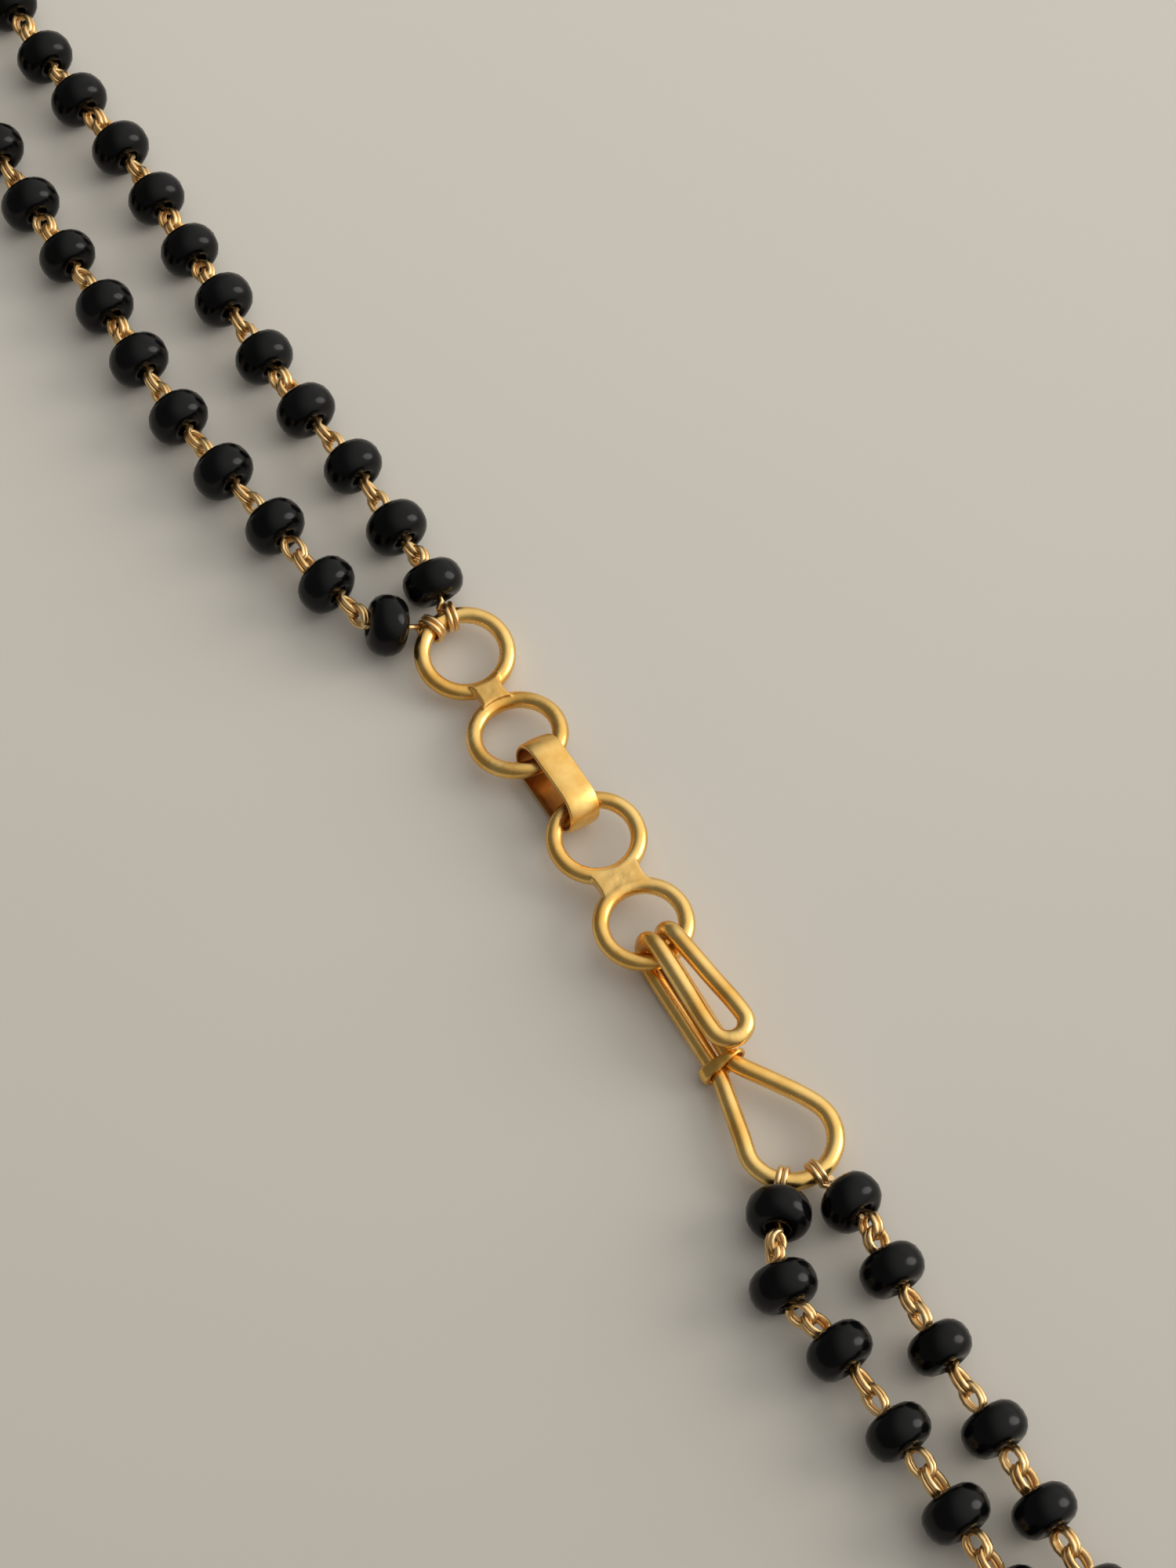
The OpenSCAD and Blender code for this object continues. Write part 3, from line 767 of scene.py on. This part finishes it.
def makeLinks(name, strand, places):
    rnd = random.Random(strand["seed"])
    wire, half, dip = links["wire"], beadShape["length"] / 2, links["dip"]
    ends = {}  # the loop at each end of each bead's wire
    for i in range(len(places) - 1):
        (a, lineA), (b, lineB) = places[i], places[i + 1]
        endA, endB = a + lineA * half, b - lineB * half
        run = endB - endA
        gap, way = run.length, run.normalized()
        # the two loops hook into each other halfway between the beads
        length = (gap + links["slack"] * wire) / 2 + dip - wire / 2
        length = max(links["shortestLoop"], length) / 2
        reach = length + wire / 2 - dip
        lean = links["lean"] + rnd.uniform(-1, 1) * links["leanSpread"]
        if rnd.random() < links["turnedShare"]:
            lean += 90
        for key, end, out, turn in (((i, 1), endA, way, lean), ((i + 1, 0), endB, -way, lean + 90)):
            ends[key] = coil(end + out * reach, out, leaning(way, turn), length, links["loopWidth"] / 2,
                             links["turns"], links["steps"], wire)
    paths = []
    for i, (centre, line) in enumerate(places):
        first = ends.get((i, 0), [centre - line * half * links["bareReach"]])
        last = ends.get((i, 1), [centre + line * half * links["bareReach"]])
        inside = [centre - line * half * links["insideReach"], centre,
                  centre + line * half * links["insideReach"]]
        paths.append(list(reversed(first)) + inside + last)
    makeWires(name, paths, links, *strand["wires"])


def makeEndLoop(name, node, bead, lineTurn, radius, towards):
    # the wire of the last bead winds twice round the ring or the eye
    centre = boxMiddle(node)
    turn = math.radians(lineTurn)
    normal = Vector((math.cos(turn), math.sin(turn), 0))
    place, line = bead
    hole = place - line * towards * beadShape["length"] / 2
    back = hole - centre
    back = (back - normal * back.dot(normal)).normalized()
    winding = coil(centre, -back, normal, radius, radius, endLoops["turns"], endLoops["steps"],
                   endLoops["wire"])
    path = list(reversed(winding)) + [hole, place - line * towards * endLoops["inside"]]
    makeWires(name, [path], endLoops, node)


wireTree = wireAlongPath()
beadTree = beadsOnStrand()
template = beadTemplate()
for side, strand in strands.items():
    places = beadPlaces(strand["beads"], boxMiddle(strand["ringLoop"]))
    makeBeads(side + "Beads", strand, places, template)
    makeLinks(side + "Wires", strand, places)
    makeEndLoop(side + "RingLoop", strand["ringLoop"], places[0], strand["ringLoopLine"],
                endLoops["ringRadius"], 1)
    makeEndLoop(side + "EyeLoop", strand["eyeLoop"], places[-1], strand["eyeLoopLine"],
                endLoops["eyeRadius"], -1)
    print(side, "strand ready:", len(places), "beads")
bpy.data.objects.remove(template)


# Surface, light and camera, in the camera's own directions
surface = {
    # near and far paint light on the floor: darker on the viewer's side, lighter further away
    "size": 1500, "near": (0.55, 0.516, 0.456, 1), "far": (0.812, 0.775, 0.708, 1),
    "paintedLightWay": (0.22, 1.0, 0), "fade": {"From Min": -0.09, "From Max": 0.11},
    "cloud": {"Scale": 25.0, "Detail": 2.0}, "cloudShare": 0.12, "roughness": 0.75, "shine": 0.25,
}
studio = {
    "brightSide": (0.8, 0.25, 0.55), "dimmest": 0.155, "brightest": 1.15,
    "skyColor": (1.0, 0.98, 0.94, 1), "keyColor": (1.0, 0.96, 0.9),
    "keyFrom": (640, 107, 258), "keySize": (373, 498), "keyPower": 1.85,
}
view = {
    "turn": 31, "tilt": 63.5, "place": (-33.41, -58.41, 136.22), "lens": 76.5, "sensor": 36,
    "clipStart": 0.01,  # in metres
}


def studioWay(right, up, height):
    a = math.radians(view["turn"])
    return Vector((right * math.cos(a) + up * math.sin(a),
                   -right * math.sin(a) + up * math.cos(a), height))


def studioPlace(right, up, height):
    return (claspAt + studioWay(right, up, height)) * mm


def makeFloor():
    half = surface["size"] / 2
    mesh = bpy.data.meshes.new("floor")
    corners = ((-half, -half), (half, -half), (half, half), (-half, half))
    mesh.from_pydata([tuple(studioPlace(x, y, 0)) for x, y in corners], [], [(0, 1, 2, 3)])
    floor = placeObject("floor", mesh)
    material, tree, shader = newMaterial("paleSurface")
    shader.inputs["Roughness"].default_value = surface["roughness"]
    shader.inputs["Specular IOR Level"].default_value = surface["shine"]
    place = addNode(tree, "ShaderNodeTexCoord")
    cloud = addNode(tree, "ShaderNodeTexNoise", surface["cloud"])
    # painted light: the floor's colour runs from the darker near colour to the lighter far one along this
    # way, in place of the light's falloff
    away = addNode(tree, "ShaderNodeVectorMath", {1: studioWay(*surface["paintedLightWay"])},
                   operation="DOT_PRODUCT")
    fade = addNode(tree, "ShaderNodeMapRange", surface["fade"], interpolation_type="SMOOTHSTEP")
    both = addNode(tree, "ShaderNodeMath", {1: surface["cloudShare"]}, operation="MULTIPLY_ADD")
    tint = addNode(tree, "ShaderNodeMix", {"A": surface["near"], "B": surface["far"]}, data_type="RGBA")
    link = tree.links.new
    link(place.outputs["Object"], away.inputs[0])
    link(place.outputs["Object"], cloud.inputs["Vector"])
    link(away.outputs["Value"], fade.inputs["Value"])
    link(cloud.outputs["Fac"], both.inputs[0])
    link(fade.outputs["Result"], both.inputs[2])
    link(both.outputs[0], tint.inputs["Factor"])
    link(tint.outputs["Result"], shader.inputs["Base Color"])
    mesh.materials.append(material)


def makeLights():
    # the room is bright above and to the right, and dim on the viewer's side
    world = bpy.data.worlds.new("studio")
    world.use_nodes = True
    tree = world.node_tree
    back = tree.nodes["Background"]
    back.inputs["Color"].default_value = studio["skyColor"]
    place = addNode(tree, "ShaderNodeTexCoord")
    side = addNode(tree, "ShaderNodeVectorMath", {1: studioWay(*studio["brightSide"]).normalized()},
                   operation="DOT_PRODUCT")
    fade = addNode(tree, "ShaderNodeMapRange", {
        "To Min": studio["dimmest"], "To Max": studio["brightest"],
    }, interpolation_type="SMOOTHSTEP")
    tree.links.new(place.outputs["Generated"], side.inputs[0])
    tree.links.new(side.outputs["Value"], fade.inputs["Value"])
    tree.links.new(fade.outputs["Result"], back.inputs["Strength"])
    scene.world = world
    key = bpy.data.lights.new("window", "AREA")
    key.shape = "ELLIPSE"
    key.size, key.size_y = (across * mm for across in studio["keySize"])
    key.energy = studio["keyPower"]
    key.color = studio["keyColor"]
    lamp = bpy.data.objects.new("window", key)
    lamp.location = studioPlace(*studio["keyFrom"])
    lamp.rotation_euler = (studioPlace(0, 0, 0) - lamp.location).to_track_quat("-Z", "Y").to_euler()
    scene.collection.objects.link(lamp)


def makeCamera():
    data = bpy.data.cameras.new("camera")
    data.lens = view["lens"]
    data.sensor_width = view["sensor"]
    data.clip_start = view["clipStart"]
    camera = bpy.data.objects.new("camera", data)
    camera.location = (claspAt + Vector(view["place"])) * mm
    tilt, a = math.radians(view["tilt"]), math.radians(view["turn"])
    ahead = Vector((math.cos(tilt) * math.sin(a), math.cos(tilt) * math.cos(a), -math.sin(tilt)))
    camera.rotation_euler = ahead.to_track_quat("-Z", "Y").to_euler()
    scene.collection.objects.link(camera)
    scene.camera = camera


makeFloor()
makeLights()
makeCamera()
scene.view_settings.view_transform = "Standard"
print("studio ready")
